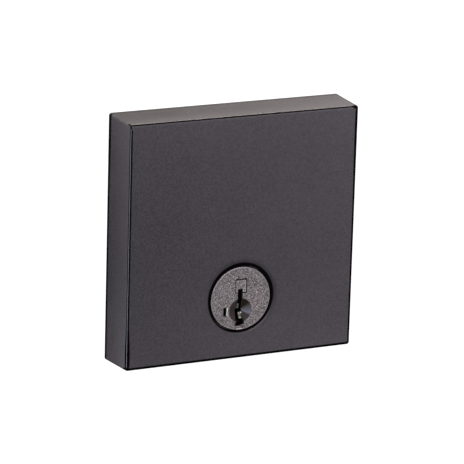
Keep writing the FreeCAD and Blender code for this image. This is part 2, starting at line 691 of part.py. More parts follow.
def spring_washer():
    """Curved washer that keeps a light drag on the thumbturn."""
    radius = 70.0
    low = 50.27
    bent = rod_x(radius + 0.3, -20, 20, low + radius + 0.3, 0).cut(rod_x(radius, -21, 21, low + radius + 0.3, 0))
    ring = rod_y(9.6, 50, 52).cut(rod_y(7.2, 49, 53))
    return bent.common(ring)


NODES = {
    "outer_rose": outer_rose,
    "cylinder_housing": cylinder_housing,
    "guard_ring": guard_ring,
    "weather_gasket": weather_gasket,
    "mounting_posts": mounting_posts,
    "gear_cover": gear_cover,
    "gear_cover_screws": gear_cover_screws,
    "idler_axle": idler_axle,
    "plug": plug,
    "plug_insert": plug_insert,
    "key_followers": key_followers,
    "follower_springs": follower_springs,
    "wafer_racks": wafer_racks,
    "rack_carriage": rack_carriage,
    "sidebar": sidebar,
    "sidebar_springs": sidebar_springs,
    "plug_retainer": plug_retainer,
    "drive_gear": drive_gear,
    "idler_gear": idler_gear,
    "driven_gear": driven_gear,
    "torque_blade": torque_blade,
    "latch_tube": latch_tube,
    "latch_side_outer": lambda: side_plate(-1),
    "latch_side_inner": lambda: side_plate(1),
    "latch_pillars": latch_pillars,
    "faceplate": faceplate,
    "bolt": bolt,
    "bolt_core_pin": bolt_core_pin,
    "bolt_link": bolt_link,
    "link_rivets": link_rivets,
    "bolt_cam": bolt_cam,
    "crank_pin": crank_pin,
    "inner_mounting_plate": inner_mounting_plate,
    "through_screws": through_screws,
    "inner_rose": inner_rose,
    "rose_set_screw": rose_set_screw,
    "thumbturn_bushing": thumbturn_bushing,
    "thumbturn": thumbturn,
    "thumbturn_clip": thumbturn_clip,
    "spring_washer": spring_washer,
}

os.makedirs("parts", exist_ok=True)
for node_name, make in NODES.items():
    save(node_name, make())
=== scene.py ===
"""Looks of a square-rose deadbolt door lock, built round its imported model."""

import math

import bpy
from bpy.props import FloatProperty, FloatVectorProperty, PointerProperty
from mathutils import Matrix, Vector


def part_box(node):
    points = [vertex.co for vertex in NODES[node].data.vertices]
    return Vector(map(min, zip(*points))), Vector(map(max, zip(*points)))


bl_info = {
    "name": "Deadbolt Lock Finishes",
    "version": (1, 0, 0),
    "blender": (4, 5, 0),
    "location": "3D View > Sidebar > Lock",
    "description": "Finishes, lights and camera for a square-rose deadbolt lock",
    "category": "Material",
}

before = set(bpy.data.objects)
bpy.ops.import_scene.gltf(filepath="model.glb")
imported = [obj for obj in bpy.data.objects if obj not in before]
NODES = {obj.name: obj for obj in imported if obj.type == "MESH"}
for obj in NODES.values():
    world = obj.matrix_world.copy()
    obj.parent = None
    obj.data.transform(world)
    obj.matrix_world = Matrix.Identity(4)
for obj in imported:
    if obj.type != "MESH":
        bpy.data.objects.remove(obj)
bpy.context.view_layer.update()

MM = 0.001
X, Y, Z = range(3)


def span(name, axis):
    """Low and high side of a node's box along one axis, in millimetres."""
    low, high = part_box(name)
    return low[axis] / MM, high[axis] / MM


def middle(name, axis):
    """Middle of a node's box along one axis, in millimetres."""
    return sum(span(name, axis)) / 2.0


def half(name, axis):
    """Half of a node's size along one axis, in millimetres."""
    low, high = span(name, axis)
    return (high - low) / 2.0


# Millimetres in the lock's frame: x to the bolt's side, y into the door, z up.
OUTER_FACE_Y, OUTER_BACK_Y = span("outer_rose", Y)
INNER_BACK_Y, INNER_FACE_Y = span("inner_rose", Y)
ROSE_HALF = half("outer_rose", X)
ROSE_DEPTH = OUTER_BACK_Y - OUTER_FACE_Y
ROSE_DRAFT = 0.45            # how much each side of a rose leans in from door to face
PLUG_HOLE_R = 9.25
PLUG_HOLE_RIM = 0.6          # the soft edge round the hole
PLUG_FACE_Y = span("plug", Y)[0]
PLUG_AXIS_Z = middle("plug", Z)
# Centre of the painted shade round the plug's hole.
PLUG_RING_X = -0.19          # the black ring round the hole sits a little up and left
PLUG_RING_Z = PLUG_AXIS_Z + 0.40
INSERT_X, INSERT_Z = middle("plug_insert", X), middle("plug_insert", Z)
INSERT_HALF_X, INSERT_HALF_Z = half("plug_insert", X), half("plug_insert", Z)
DISH_X, DISH_Z = 0.05, -20.5
DISH_R = 3.4
DISH_TAPER = 2.6             # how much less the dish's radius is a millimetre down
BLAST_GRAIN = 7.0            # sandblasted grains to a millimetre

# Blacks for dark gaps and joints, and for painted shade in gaps, slots and pits.
GAP_BLACK = (0.008, 0.007, 0.007)
PIT_SHADE = (0.006, 0.005, 0.005)


# ------------------------------------------------------------------ shader sums

class Val:
    """A shader value that can be used in ordinary sums; each sum adds a Math node."""

    def __init__(self, nodes, socket):
        self.nodes = nodes
        self.socket = socket

    def _math(self, operation, *values):
        return self.nodes.add("ShaderNodeMath", {"operation": operation}, values)

    def __add__(self, other):
        return self._math("ADD", self, other)

    def __radd__(self, other):
        return self._math("ADD", other, self)

    def __sub__(self, other):
        return self._math("SUBTRACT", self, other)

    def __rsub__(self, other):
        return self._math("SUBTRACT", other, self)

    def __mul__(self, other):
        return self._math("MULTIPLY", self, other)

    def __rmul__(self, other):
        return self._math("MULTIPLY", other, self)

    def __truediv__(self, other):
        return self._math("DIVIDE", self, other)

    def __rtruediv__(self, other):
        return self._math("DIVIDE", other, self)

    def __abs__(self):
        return self._math("ABSOLUTE", self)

    def least(self, other):
        """The smaller of the two."""
        return self._math("MINIMUM", self, other)

    def most(self, other):
        """The larger of the two."""
        return self._math("MAXIMUM", self, other)

    def root(self):
        """Square root."""
        return self._math("SQRT", self)

    def wave(self):
        """Sine, from -1 to 1."""
        return self._math("SINE", self)

    def turned(self, along):
        """Angle of the point (along, self) about the origin, in radians."""
        return self._math("ARCTAN2", self, along)

    def clamped(self):
        """Held between 0 and 1."""
        return self.most(0.0).least(1.0)

    def rise(self, low, high):
        """0 below low, 1 above high, with a soft step between."""
        return self.nodes.add("ShaderNodeMapRange",
                              {"interpolation_type": "SMOOTHSTEP", "clamp": True},
                              [self, low, high, 0.0, 1.0])

    def fall(self, low, high):
        """1 below low, 0 above high, with a soft step between."""
        return 1.0 - self.rise(low, high)


class Nodes:
    """A node tree, emptied, with one way to add a node to it."""

    def __init__(self, tree):
        self.tree = tree
        tree.nodes.clear()

    def feed(self, socket, value):
        """Link a value to a socket, or set the socket to plain numbers."""
        if isinstance(value, Val):
            self.tree.links.new(value.socket, socket)
        elif socket.type == "RGBA":
            socket.default_value = (*value[:3], 1.0)
        else:
            socket.default_value = value

    def node(self, kind, settings=None, inputs=()):
        """One node of this type: its settings first, then its inputs, by name or in order."""
        node = self.tree.nodes.new(kind)
        for key, setting in (settings or {}).items():
            setattr(node, key, setting)
        keyed = inputs if isinstance(inputs, dict) else dict(enumerate(inputs))
        for key, value in keyed.items():
            self.feed(node.inputs[key], value)
        return node

    def add(self, kind, settings=None, inputs=(), out=0):
        """The same, giving one of the node's outputs as a value."""
        return Val(self, self.node(kind, settings, inputs).outputs[out])


class Finish(Nodes):
    """One node material: a Principled shader with helpers to build what feeds it."""

    def __init__(self, name):
        self.material = bpy.data.materials.new(name)
        self.material.use_nodes = True
        super().__init__(self.material.node_tree)
        self.shader = self.node("ShaderNodeBsdfPrincipled")
        self.node("ShaderNodeOutputMaterial", {},
                  {"Surface": Val(self, self.shader.outputs["BSDF"])})
        self.place = self.add("ShaderNodeTexCoord", out="Object")
        split = self.node("ShaderNodeSeparateXYZ", {}, [self.place])
        self.x, self.y, self.z = [Val(self, part) * (1.0 / MM) for part in split.outputs]

    def stretch(self, sx=1.0, sy=1.0, sz=1.0):
        """The place on the object in millimetres, scaled along each axis."""
        return self.add("ShaderNodeVectorMath", {"operation": "MULTIPLY"},
                        [self.place, (sx / MM, sy / MM, sz / MM)])

    def noise(self, scale, detail=2.0, rough=0.5, at=None):
        """Noise from 0 to 1; scale is cells per millimetre."""
        return self.add("ShaderNodeTexNoise", {},
                        {"Vector": at or self.stretch(), "Scale": scale,
                         "Detail": detail, "Roughness": rough}, out="Fac")

    def grains(self, scale):
        """Grains with a chance value each; scale is grains per millimetre."""
        return self.add("ShaderNodeTexVoronoi", {"feature": "F1"},
                        {"Vector": self.stretch(), "Scale": scale}, out="Color")

    def mix(self, amount, first, second):
        """Colour between first and second."""
        factor_in, first_in, second_in, colour_out = 0, 6, 7, 2
        return self.add("ShaderNodeMix", {"data_type": "RGBA"},
                        {factor_in: amount, first_in: first, second_in: second},
                        out=colour_out)

    def bump(self, height, strength, distance, under=None):
        """A bump from a height; distance is in millimetres."""
        inputs = {"Height": height, "Strength": strength, "Distance": distance * MM}
        if under is not None:
            inputs["Normal"] = under
        return self.add("ShaderNodeBump", {}, inputs, out="Normal")

    def around(self, x, z):
        """Offsets from the level line into the door through x and z, and the distance from it."""
        dx, dz = self.x - x, self.z - z
        return dx, dz, (dx * dx + dz * dz).root()

    def patch(self, x0, x1, z0, z1, soft=0.08):
        """1 inside this rectangle seen from the front, with soft sides."""
        across = self.x.rise(x0 - soft, x0 + soft) * self.x.fall(x1 - soft, x1 + soft)
        return across * self.z.rise(z0 - soft, z0 + soft) * self.z.fall(z1 - soft, z1 + soft)

    def wear(self, **sockets):
        """Set the shader's own sockets; underscores stand for the blanks in their names."""
        for key, value in sockets.items():
            self.feed(self.shader.inputs[key.replace("_", " ")], value)
        return self.material


def dress(material, *names):
    """Give these CAD nodes this finish."""
    for name in names:
        mesh = NODES[name].data
        mesh.materials.clear()
        mesh.materials.append(material)


def tint(colour, gain):
    """The colour made lighter or darker, at most white."""
    return tuple(min(1.0, part * gain) for part in colour[:3])


# ------------------------------------------------------------------ sizes and colours

class LockFinishes(bpy.types.PropertyGroup):
    """Colours and textures that a user may want to change."""

    rose_colour: FloatVectorProperty(
        name="Rose colour",
        description="Dark satin coat of both roses, the thumbturn and the faceplate",
        subtype="COLOR", size=3, default=(0.058, 0.052, 0.060), min=0.0, max=1.0)
    # Painted shade: the black on the rounded edges of the roses and round the plug's hole.
    edge_shade_colour: FloatVectorProperty(
        name="Edge colour", description="Coat where it gathers on rounded edges",
        subtype="COLOR", size=3, default=(0.006, 0.005, 0.006), min=0.0, max=1.0)
    catch_colour: FloatVectorProperty(
        name="Catch colour", description="Light caught on the upright left arris of a rose",
        subtype="COLOR", size=3, default=(0.15, 0.165, 0.20), min=0.0, max=1.0)
    plug_colour: FloatVectorProperty(
        name="Plug colour", description="Blasted face of the key plug",
        subtype="COLOR", size=3, default=(0.272, 0.243, 0.246), min=0.0, max=1.0)
    steel_colour: FloatVectorProperty(
        name="Plated steel colour", description="Zinc plate on the latch case, posts and plates",
        subtype="COLOR", size=3, default=(0.60, 0.62, 0.65), min=0.0, max=1.0)
    casting_colour: FloatVectorProperty(
        name="Casting colour", description="Zinc casting of the cylinder housing",
        subtype="COLOR", size=3, default=(0.44, 0.44, 0.46), min=0.0, max=1.0)
    brass_colour: FloatVectorProperty(
        name="Brass colour", description="Followers, racks and carriage in the plug",
        subtype="COLOR", size=3, default=(0.72, 0.52, 0.24), min=0.0, max=1.0)
    # How far the painted edge shade reaches in from a rounded edge.
    edge_width: FloatProperty(
        name="Edge width", description="How far the dark gathers in from a rounded edge",
        subtype="DISTANCE", unit="LENGTH", default=0.00080, min=0.0, max=0.005)


class LockStage(bpy.types.PropertyGroup):
    """Camera and floor."""

    azimuth: FloatProperty(
        name="Azimuth", description="Camera's turn about the upright, seen from the front",
        subtype="ANGLE", unit="ROTATION", default=math.radians(-26.545))
    elevation: FloatProperty(
        name="Elevation", description="Camera's height angle",
        subtype="ANGLE", unit="ROTATION", default=math.radians(15.535))
    roll: FloatProperty(
        name="Roll", description="Camera's turn about its own sight line",
        subtype="ANGLE", unit="ROTATION", default=math.radians(1.663))
    distance: FloatProperty(
        name="Distance", description="Camera to the centre of the outer rose's back",
        subtype="DISTANCE", unit="LENGTH", default=0.8786, min=0.1)
    aside: FloatProperty(
        name="Aside", description="How far right of the picture's centre the lock stands",
        subtype="DISTANCE", unit="LENGTH", default=-0.002711)
    above: FloatProperty(
        name="Above", description="How far above the picture's centre the lock stands",
        subtype="DISTANCE", unit="LENGTH", default=0.001710)
    lens: FloatProperty(
        name="Lens", description="Focal length", subtype="DISTANCE_CAMERA", unit="CAMERA",
        default=250.94, min=10.0)
    floor_drop: FloatProperty(
        name="Floor drop", description="Floor below the lock's centre",
        subtype="DISTANCE", unit="LENGTH", default=0.078, min=0.0)


# ------------------------------------------------------------------ finishes

def rose_insets(f, back_y, face_y):
    """How far a point lies in from a rose's sides, its top or bottom, and its face."""
    slope = ROSE_DRAFT / abs(face_y - back_y)
    half_here = ROSE_HALF - abs(f.y - back_y) * slope
    return half_here - abs(f.x), half_here - abs(f.z), abs(f.y - face_y)


def rose_tone(f, side, top, front, cloud):
    """How light the coat is: fine specks over painted light and shade that change slowly from
    side to side.
    """
    speck = f.noise(2.65, detail=2.0, rough=0.70)
    # Painted light and shade: lighter to the right, toward the top and bottom of the face and
    # toward the front of the sides.
    painted_lift = f.x * 0.0033 + f.z * f.z * 0.00010 + (1.0 - front / ROSE_DEPTH).clamped() * 0.21
    # Painted shade near the top and bottom faces, more from 2 to 11 mm behind the face and toward
    # the left.
    dull_top_shade = front.rise(2.0, 5.0) * front.fall(8.0, 11.5) * f.x.fall(5.0, 35.0)
    painted_lift = painted_lift - top.fall(0.3, 0.8) * (0.03 + dull_top_shade * 0.07)
    # Painted light low on the left side, near the front.
    low_left_light = f.x.fall(-33.8, -33.0) * f.z.fall(-33.0, -15.0) * front.fall(1.0, 8.0)
    tone = (speck - 0.5) * 0.85 + (cloud - 0.5) * 0.12 + painted_lift + low_left_light * 0.13 + 0.285
    return tone.clamped()


def rose_edge_shade(f, width, side, top, front, back_y):
    """1 where shade is painted black on a rose's rounded edges and along its back: wider at the
    right and below, narrower on top.
    """
    second_nearest = side.least(top).most(side.most(top).least(front))
    near_side = side.fall(1.0, 2.0)
    right = f.x.rise(20.0, 30.0) * near_side
    outer = right.most(f.z.fall(-30.0, -20.0))
    left_front = f.x.fall(-30.0, -20.0) * front.fall(0.1, 0.3) * near_side * top.rise(0.8, 1.6)
    top_front = f.z.rise(0.0, 10.0) * top.fall(1.0, 2.0)
    upper_right = right * f.z.rise(5.0, 25.0) * top.rise(0.5, 1.5)
    reach = width * (0.66 + outer * 0.50 + left_front * 0.24 - top_front * 0.13
                     + upper_right * 0.22)
    reach = reach * (1.0 - front.rise(1.2, 2.4) * 0.45)
    edge = 1.0 - ((second_nearest / reach - 0.80) * 4.0).clamped()
    # Painted shade along the back, where the rose meets the door.
    from_back = abs(f.y - back_y) - f.z.rise(8.0, 28.0) * 0.35
    back_band = from_back.fall(0.8, 1.4) * (0.3 + side.fall(0.1, 0.5) * 0.7)
    return edge.most(back_band)


def plug_hole_shade(f):
    """1 where shade is painted black on the edge round the plug's hole, and how dark the painted
    shade is on the soft ring outside it.
    """
    dx, dz, away = f.around(PLUG_RING_X, PLUG_RING_Z)
    black = away.fall(PLUG_HOLE_R + PLUG_HOLE_RIM * 0.72, PLUG_HOLE_R + PLUG_HOLE_RIM * 1.30)
    upper_right = ((dx + dz * 1.3) / away * 0.5 + 0.5).clamped()
    ring = away.fall(PLUG_HOLE_R + PLUG_HOLE_RIM, PLUG_HOLE_R + PLUG_HOLE_RIM * 3.4)
    return black, ring * (0.10 + upper_right * 0.50)


def rose_material(name, colours, back_y, face_y, has_hole=False):
    """Satin coat, near black, with a fine tooth, painted shade on its rounded edges and a painted
    highlight as a light catch.
    """
    f = Finish(name)
    width = colours.edge_width / MM
    side, top, front = rose_insets(f, back_y, face_y)
    cloud = f.noise(0.06, detail=2.0)
    shade = f.mix(rose_tone(f, side, top, front, cloud), (0.0, 0.0, 0.0),
                  tint(colours.rose_colour, 2.0))
    edge = rose_edge_shade(f, width, side, top, front, back_y)
    if has_hole:
        # Painted shade: black on the hole's edge and a soft dark ring outside it, darker to the
        # upper right.
        black, ring = plug_hole_shade(f)
        edge = edge.most(black)
        shade = f.mix(ring, shade, colours.edge_shade_colour)
    # Painted highlight: a thin light line down the upright left arris.
    painted_catch = side.most(front).fall(width * 0.26, width * 0.38)
    painted_catch = painted_catch * top.rise(0.8, 1.4) * f.x.fall(-2.0, 0.0)
    # Painted shade on the edges, then the painted highlight.
    colour = f.mix(edge, shade, colours.edge_shade_colour)
    colour = f.mix(painted_catch, colour, colours.catch_colour)
    tooth = f.noise(9.0, detail=3.0, rough=0.6)
    rough = 0.50 + (tooth - 0.5) * 0.16 + (cloud - 0.5) * 0.06 + edge * 0.45
    return f.wear(Base_Color=colour, Roughness=rough, Metallic=edge * (1.0 - painted_catch),
                  Normal=f.bump(tooth, 0.22, 0.02), Specular_IOR_Level=0.40)


def plain_coat_material(name, colours):
    """The same satin coat for pieces without the square edges."""
    f = Finish(name)
    tooth = f.noise(9.0, detail=3.0, rough=0.6)
    speck = f.noise(3.0, detail=4.0, rough=0.7)
    rub = f.noise(0.35, detail=3.0, rough=0.65)
    coat = colours.rose_colour
    shade = f.mix(speck.rise(0.3, 0.7), tint(coat, 0.90), tint(coat, 1.15))
    colour = f.mix(rub.rise(0.62, 0.80) * 0.4, shade, tint(coat, 1.6))
    rough = 0.45 + (tooth - 0.5) * 0.16 - rub.rise(0.55, 0.8) * 0.08
    return f.wear(Base_Color=colour, Roughness=rough, Normal=f.bump(tooth, 0.22, 0.02),
                  Specular_IOR_Level=0.45)


def key_slot_lip_shade(f):
    """1 along the key slot's upper part and foot, where shade is painted dark on the arris."""
    upper_right = f.patch(0.38, 0.62, -17.80, -14.42, 0.04)
    foot_right = f.patch(0.90, 1.28, -24.50, -22.95, 0.05)
    foot_left = f.patch(-1.62, -1.28, -24.80, -23.95, 0.05)
    foot_end = f.patch(-1.00, 0.20, -24.86, -24.60, 0.05)
    return upper_right + foot_right + foot_left + foot_end


def shade_behind_key_slot(f):
    """1 on what lies behind the foot of the key slot, where shade is painted dark brown."""
    return f.patch(-1.7, 1.9, -25.4, -22.3, 0.15) * f.y.fall(-9.3, -9.1)


def blasted_tones(f, colour):
    """Sandblasted metal: grey grain with scattered painted glints on bright grains, and the
    grain's height.
    """
    grain = f.noise(BLAST_GRAIN, detail=0.0)
    glint_grains = f.grains(BLAST_GRAIN * 0.74)
    face = f.mix(grain.rise(0.40, 0.60), tint(colour, 0.30), tint(colour, 1.72))
    # Painted glints: scattered grains near white.
    return f.mix(glint_grains.rise(0.85, 0.89) * 0.95, face, tint(colour, 4.4)), grain


def plug_face_marks(f, face, colour, from_axis, foot):
    """Painted highlight on the rim, the insert's dark outline with painted shade along its top,
    and the small square under the key slot with painted shade and painted highlight lines.
    """
    # Painted highlight: a thin bright line at the plug's rim.
    rim = from_axis.rise(8.50, 8.62) * from_axis.fall(8.76, 8.86)
    face = f.mix(rim * 0.45, face, tint(colour, 2.3))

    # The insert's dark outline, a dark joint, wider along the top as painted shade.
    from_middle = abs(f.x - INSERT_X)
    outside = (from_middle - INSERT_HALF_X).most(abs(f.z - INSERT_Z) - INSERT_HALF_Z)
    insert_top = INSERT_Z + INSERT_HALF_Z
    insert_top_shade = f.z.rise(insert_top - 0.05, insert_top + 0.05)
    insert_top_shade = insert_top_shade * from_middle.fall(INSERT_HALF_X - 0.15, INSERT_HALF_X - 0.05)
    face = f.mix((outside - insert_top_shade * 0.20).fall(0.04, 0.16), face, GAP_BLACK)

    # Painted shade in the small square under the key slot.
    face = f.mix(foot * 0.65, face, tint(colour, 0.30))
    foot_inner = f.patch(-1.12, 0.74, -25.50, -24.98, 0.05)
    face = f.mix(foot_inner, face, tint(colour, 1.05))
    # Painted highlights along the small square's lines.
    foot_highlight_lines = (f.patch(-1.20, 0.85, -25.76, -25.58, 0.05)
                    + f.patch(-1.10, 0.30, -25.12, -24.92, 0.04))
    return f.mix(foot_highlight_lines, face, tint(colour, 3.2))


def dish_tones(f, dx, dz, from_dish, ring_lines):
    """Turned dish: dark brown with lathe rings, painted shade above, below and at the right rim,
    and a painted highlight on one bright wedge.
    """
    angle = dz.turned(dx)
    dull = f.mix(ring_lines, (0.068, 0.055, 0.050), (0.140, 0.116, 0.106))
    # Painted shade above and below.
    upper_shade = angle.rise(0.35, 0.75) * angle.fall(1.6, 2.2)
    dull = f.mix(upper_shade, dull, (0.030, 0.020, 0.017))
    lower_shade = angle.fall(-0.5, -0.25) * angle.rise(-2.4, -1.6)
    dull = f.mix(lower_shade * 0.92, dull, (0.005, 0.004, 0.004))
    # Painted highlight: a bright wedge to the right.
    wedge_highlight_colour = f.mix(ring_lines, (0.085, 0.086, 0.108), (0.165, 0.165, 0.20))
    highlight_wedge = abs(angle + 0.05).fall(0.10, 0.60) * from_dish.rise(0.2, 0.9)
    dish = f.mix(highlight_wedge, dull, wedge_highlight_colour)
    # Painted shade at the right rim.
    right_rim_shade = from_dish.rise(DISH_R - 0.25, DISH_R) * dx.rise(-0.5, 1.5)
    return f.mix(right_rim_shade * 0.8, dish, (0.010, 0.008, 0.008))


def ward_marks(f, dish):
    """The wards' faces where they cross the dish, with painted highlights on their stem and
    arrises and painted shade under them.
    """
    upper_ward = f.patch(-0.95, 0.02, -20.05, -18.62)
    # Painted highlight on the upper ward's stem.
    upper_stem_highlight = f.patch(-0.62, -0.34, -19.95, -18.70, 0.06)
    dish = f.mix(upper_ward * 0.7, dish, (0.12, 0.11, 0.105))
    dish = f.mix(upper_stem_highlight, dish, (0.40, 0.39, 0.375))
    # Painted shade under the lower ward.
    under_ward_shade = f.patch(-0.30, 0.95, -23.20, -22.78)
    lower_ward = f.patch(-0.24, 0.46, -22.78, -21.25)
    # Painted highlights on the arrises of the posts and sill.
    left_post = f.patch(-0.26, 0.08, -21.80, -21.30, 0.06)
    right_post = f.patch(0.42, 0.74, -21.50, -21.20, 0.06)
    sill = f.patch(-0.05, 0.46, -22.78, -22.50, 0.06)
    dish = f.mix(under_ward_shade, dish, (0.020, 0.012, 0.010))
    dish = f.mix(lower_ward, dish, (0.13, 0.12, 0.11))
    arris_highlights = (left_post + right_post).most(sill).clamped()
    return f.mix(arris_highlights * 0.9, dish, (0.50, 0.48, 0.44))


def plug_material(colours):
    """Blasted face, a turned dish round the key slot, painted shade inside the slots and on the
    plug's side, a painted highlight on the tool slot's wall, and the insert's outline.
    """
    f = Finish("blasted_plug")
    face, grain = blasted_tones(f, colours.plug_colour)
    from_axis = f.around(0.0, PLUG_AXIS_Z)[2]
    foot = f.patch(-1.36, 1.0, -25.72, -24.78)
    face = plug_face_marks(f, face, colours.plug_colour, from_axis, foot)

    dx, dz, from_dish = f.around(DISH_X, DISH_Z)
    depth = f.y - PLUG_FACE_Y
    in_ring = from_dish.fall(DISH_R - 0.04, DISH_R + 0.06)
    below_dish = depth - ((DISH_R - from_dish) / DISH_TAPER).clamped()
    in_dish = in_ring * depth.rise(0.005, 0.04) * below_dish.fall(0.06, 0.16)
    ring_lines = (from_dish * 17.0 + grain * 2.0).wave() * 0.5 + 0.5
    dish = ward_marks(f, dish_tones(f, dx, dz, from_dish, ring_lines))
    colour = f.mix(in_dish, face, dish)

    # Painted shade: black deep in the slots and below the dish, dark brown low in the key slot.
    deep_shade = depth.rise(0.25, 0.60) * (1.0 - in_ring) * (1.0 - foot)
    deep_shade = deep_shade.most(in_ring * below_dish.rise(0.10, 0.30))
    pit_shade_colour = f.mix(f.z.fall(-23.1, -22.7), PIT_SHADE, (0.040, 0.022, 0.016))
    colour = f.mix(deep_shade, colour, pit_shade_colour)

    # Painted shade: black beside the tool slot and along the key slot's arrises.
    tool_slot_lip_shade = f.patch(-5.09, -4.90, -21.75, -19.30, 0.03)
    lip_shade = (tool_slot_lip_shade + key_slot_lip_shade(f)).clamped()
    colour = f.mix(lip_shade * 0.95, colour, GAP_BLACK)
    # Painted highlight on the tool slot's right wall near the face.
    painted_catch = f.patch(-3.98, -3.82, -21.70, -19.35, 0.03) * depth.fall(0.70, 0.95)
    colour = f.mix(painted_catch, colour, (0.80, 0.79, 0.77))
    # Painted shade: black on the plug's side wall, in the gap round it.
    wall_shade = (from_axis + f.z.fall(-25.5, -22.0) * 0.20).rise(8.84, 8.92)
    colour = f.mix(wall_shade, colour, GAP_BLACK)

    grit = f.bump(grain, 0.45, 0.06)
    return f.wear(Base_Color=colour, Roughness=0.50 + (grain - 0.5) * 0.2 - in_dish * 0.14,
                  Metallic=(0.55 + deep_shade * 0.4 + wall_shade * 0.4) * (1.0 - painted_catch),
                  Normal=f.bump(ring_lines * in_dish, 0.35, 0.01, under=grit),
                  Specular_IOR_Level=0.3)


def insert_material(colours):
    """The small square insert: the plug's tone, a touch lighter, with painted highlights on its
    arrises and painted shade along its border.
    """
    f = Finish("square_insert")
    face, grain = blasted_tones(f, tint(colours.plug_colour, 1.12))
    inset = (INSERT_HALF_X - abs(f.x - INSERT_X)).least(INSERT_HALF_Z - abs(f.z - INSERT_Z))
    to_right = f.x.rise(INSERT_X, INSERT_X + INSERT_HALF_X)
    # Painted highlight on the arrises, stronger to the right.
    insert_arris_highlight = inset.rise(0.26, 0.34) * inset.fall(0.46, 0.60) * (0.35 + to_right * 0.4)
    face = f.mix(insert_arris_highlight, face, tint(colours.plug_colour, 2.4))
    # A dark border at the joint, with painted shade heavier to the right.
    border_shade = inset.fall(0.14, 0.26) * (0.70 + to_right * 0.25)
    face = f.mix(border_shade, face, (0.010, 0.009, 0.009))
    # Painted shade deep in the slot.
    deep_shade = (f.y - PLUG_FACE_Y).rise(0.3, 0.6)
    colour = f.mix(deep_shade.most(key_slot_lip_shade(f)), face, PIT_SHADE)
    return f.wear(Base_Color=colour, Roughness=0.46 + (grain - 0.5) * 0.2, Metallic=0.6,
                  Normal=f.bump(grain, 0.4, 0.05), Specular_IOR_Level=0.3)


def plated_material(name, colour, grain_axis, duller=0.0):
    """Bright zinc plate over rolled steel, with faint passivation tints along the grain."""
    f = Finish(name)
    stretches = [3.0, 3.0, 3.0]
    stretches[grain_axis] = 0.12
    grain = f.noise(2.0, detail=4.0, rough=0.65, at=f.stretch(*stretches))
    cloud = f.noise(0.18, detail=3.0, rough=0.6)
    base = f.mix(cloud.rise(0.35, 0.68), tint(colour, 0.86), tint(colour, 1.08))
    base = f.mix(cloud.rise(0.58, 0.78) * 0.35, base, (0.62, 0.58, 0.42))
    base = f.mix(grain.rise(0.35, 0.7) * 0.35, base, tint(colour, 0.62))
    rough = 0.34 + duller + (grain - 0.5) * 0.28 + (cloud - 0.5) * 0.1
    return f.wear(Base_Color=base, Metallic=0.92, Roughness=rough,
                  Normal=f.bump(grain, 0.18, 0.02))


def casting_material(colours):
    """Zinc casting: soft orange-peel skin with dull patches, and painted shade behind the key
    slot.
    """
    f = Finish("zinc_casting")
    zinc = colours.casting_colour
    peel = f.noise(1.1, detail=4.0, rough=0.6)
    dull_spots = f.noise(0.10, detail=4.0, rough=0.6)
    pores = f.grains(2.2)
    colour = f.mix(dull_spots.rise(0.35, 0.65), tint(zinc, 0.78), tint(zinc, 1.12))
    colour = f.mix(pores.fall(0.08, 0.18) * 0.5, colour, tint(zinc, 0.45))
    # Painted shade, dark brown, behind the foot of the key slot.
    colour = f.mix(shade_behind_key_slot(f), colour, (0.080, 0.042, 0.036))
    return f.wear(Base_Color=colour, Metallic=0.75, Roughness=0.52 + (peel - 0.5) * 0.22,
                  Normal=f.bump(peel, 0.35, 0.08))


def gear_material():
    """Sintered steel, dark grey and slightly oily, with open pores."""
    f = Finish("sintered_steel")
    pores = f.grains(4.0)
    oil = f.noise(0.25, detail=3.0)
    colour = f.mix(oil.rise(0.35, 0.65), (0.15, 0.15, 0.155), (0.23, 0.23, 0.235))
    colour = f.mix(pores.fall(0.12, 0.28) * 0.6, colour, (0.05, 0.05, 0.05))
    return f.wear(Base_Color=colour, Metallic=0.85, Roughness=0.50 - oil.rise(0.4, 0.7) * 0.18,
                  Normal=f.bump(pores, 0.25, 0.03))


def ground_material():
    """Hardened, ground steel with fine lines and a straw tint, and painted shade behind the key
    slot.
    """
    f = Finish("ground_steel")
    lines = f.noise(2.5, detail=4.0, rough=0.7, at=f.stretch(4.0, 0.3, 4.0))
    heat = f.noise(0.3, detail=2.0)
    colour = f.mix(lines.rise(0.3, 0.7), (0.36, 0.36, 0.38), (0.50, 0.50, 0.52))
    colour = f.mix(heat.rise(0.55, 0.8) * 0.5, colour, (0.48, 0.40, 0.27))
    # Painted shade, dark brown, behind the foot of the key slot.
    colour = f.mix(shade_behind_key_slot(f), colour, (0.050, 0.026, 0.020))
    return f.wear(Base_Color=colour, Metallic=1.0, Roughness=0.28 + (lines - 0.5) * 0.2,
                  Normal=f.bump(lines, 0.15, 0.02))


def spring_material():
    """Drawn spring steel with fine streaks and a little temper blue."""
    f = Finish("spring_steel")
    draw = f.noise(3.0, detail=3.0, rough=0.6)
    blue = f.noise(0.5, detail=2.0)
    colour = f.mix(draw.rise(0.3, 0.7), (0.27, 0.27, 0.29), (0.42, 0.42, 0.44))
    colour = f.mix(blue.rise(0.55, 0.75) * 0.4, colour, (0.20, 0.24, 0.34))
    return f.wear(Base_Color=colour, Metallic=1.0, Roughness=0.30 + (draw - 0.5) * 0.2,
                  Normal=f.bump(draw, 0.12, 0.02))


def brass_material(colours):
    """Machined brass with fine cuts, tarnished in places."""
    f = Finish("machined_brass")
    brass = colours.brass_colour
    cuts = f.noise(3.0, detail=3.0, rough=0.6, at=f.stretch(3.0, 3.0, 0.4))
    tarnish = f.noise(0.5, detail=3.0)
    colour = f.mix(cuts.rise(0.3, 0.7), tint(brass, 0.85), tint(brass, 1.1))
    colour = f.mix(tarnish.rise(0.5, 0.8) * 0.5, colour, (0.36, 0.22, 0.09))
    return f.wear(Base_Color=colour, Metallic=1.0, Roughness=0.30 + (tarnish - 0.5) * 0.25,
                  Normal=f.bump(cuts, 0.15, 0.02))


